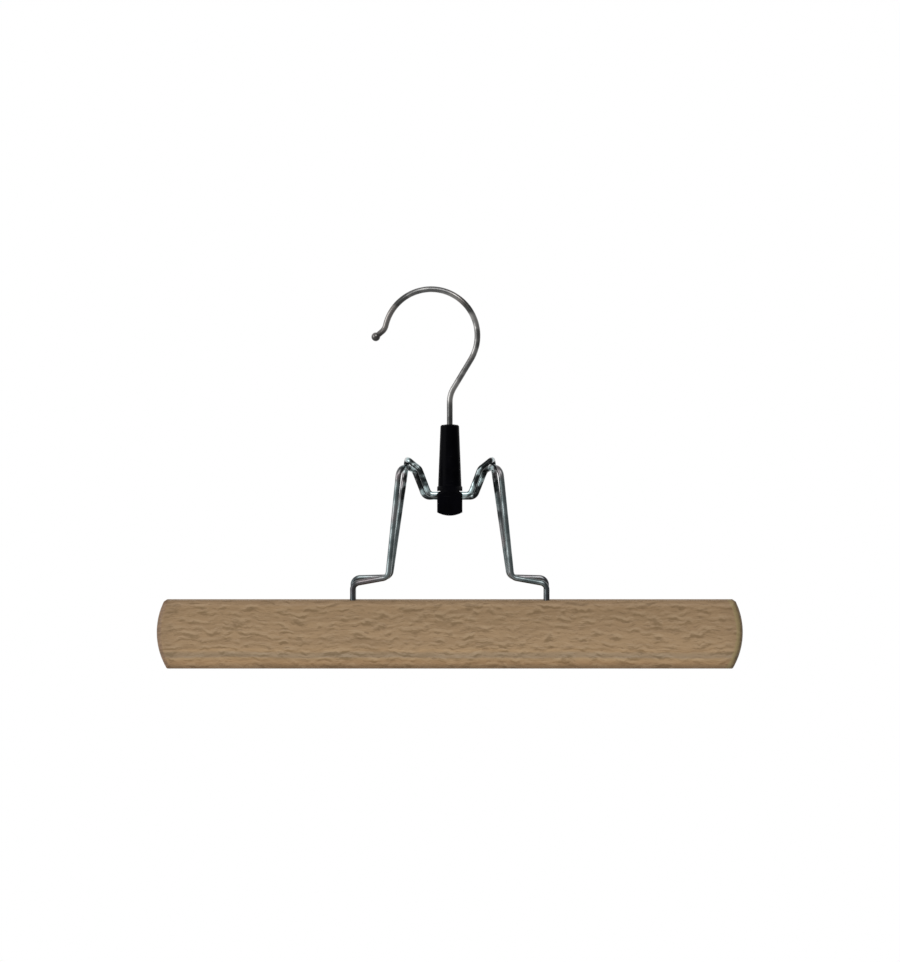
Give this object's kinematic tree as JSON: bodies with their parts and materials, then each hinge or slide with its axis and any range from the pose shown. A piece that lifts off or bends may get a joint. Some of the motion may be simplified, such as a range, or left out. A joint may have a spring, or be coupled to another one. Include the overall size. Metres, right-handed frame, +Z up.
{
  "type": "trouser hanger",
  "caption": "Trouser clamp hanger: felt-lined wooden jaw bars on crossed wire frames, worked by a wire hook that slides and swivels in a tapered sleeve.",
  "frame": {"origin": "where the rail bears, at the inner top of the hook's bow", "axes": "+X along the jaw bars, +Y from the front jaw to the rear jaw, +Z up"},
  "size_m": [0.25, 0.0228, 0.1632],
  "materials": {
    "hook_wire": "zinc-plated wire, satin",
    "frame_wire": "zinc-plated wire, satin",
    "wedge_metal": "matt",
    "sleeve_plastic": "black, satin",
    "beech": "lacquered, satin",
    "felt": "wool felt"
  },
  "bodies": {
    "hook": {"hook": "hook_wire"},
    "wedge": {"wedge": "wedge_metal"},
    "sleeve": {"sleeve": "sleeve_plastic"},
    "front_jaw": {"front_frame": "frame_wire", "front_bar": "beech", "front_felt": "felt"},
    "rear_jaw": {"rear_frame": "frame_wire", "rear_bar": "beech", "rear_felt": "felt"}
  },
  "joints": [
    {"name": "hook_swivel", "type": "hinge", "parent": "hook", "child": "wedge", "pos_m": [0.008, 0, -0.0715], "axis": [0, 0, 1], "continuous": true},
    {"name": "sleeve_slide", "type": "slide", "parent": "wedge", "child": "sleeve", "axis": [0, 0, 1], "range_m": [0, 0.007]},
    {"name": "front_jaw_swing", "type": "hinge", "parent": "sleeve", "child": "front_jaw", "pos_m": [0.008, 0, -0.07332], "axis": [1, 0, 0], "range_deg": [-7.2, 0]},
    {"name": "rear_jaw_swing", "type": "hinge", "parent": "sleeve", "child": "rear_jaw", "pos_m": [0.008, 0, -0.07332], "axis": [1, 0, 0], "range_deg": [0, 7.2]}
  ],
  "couplings": [
    {"joint": "front_jaw_swing", "follows": "sleeve_slide", "rad_per_m": -17.95},
    {"joint": "rear_jaw_swing", "follows": "sleeve_slide", "rad_per_m": 17.95}
  ]
}
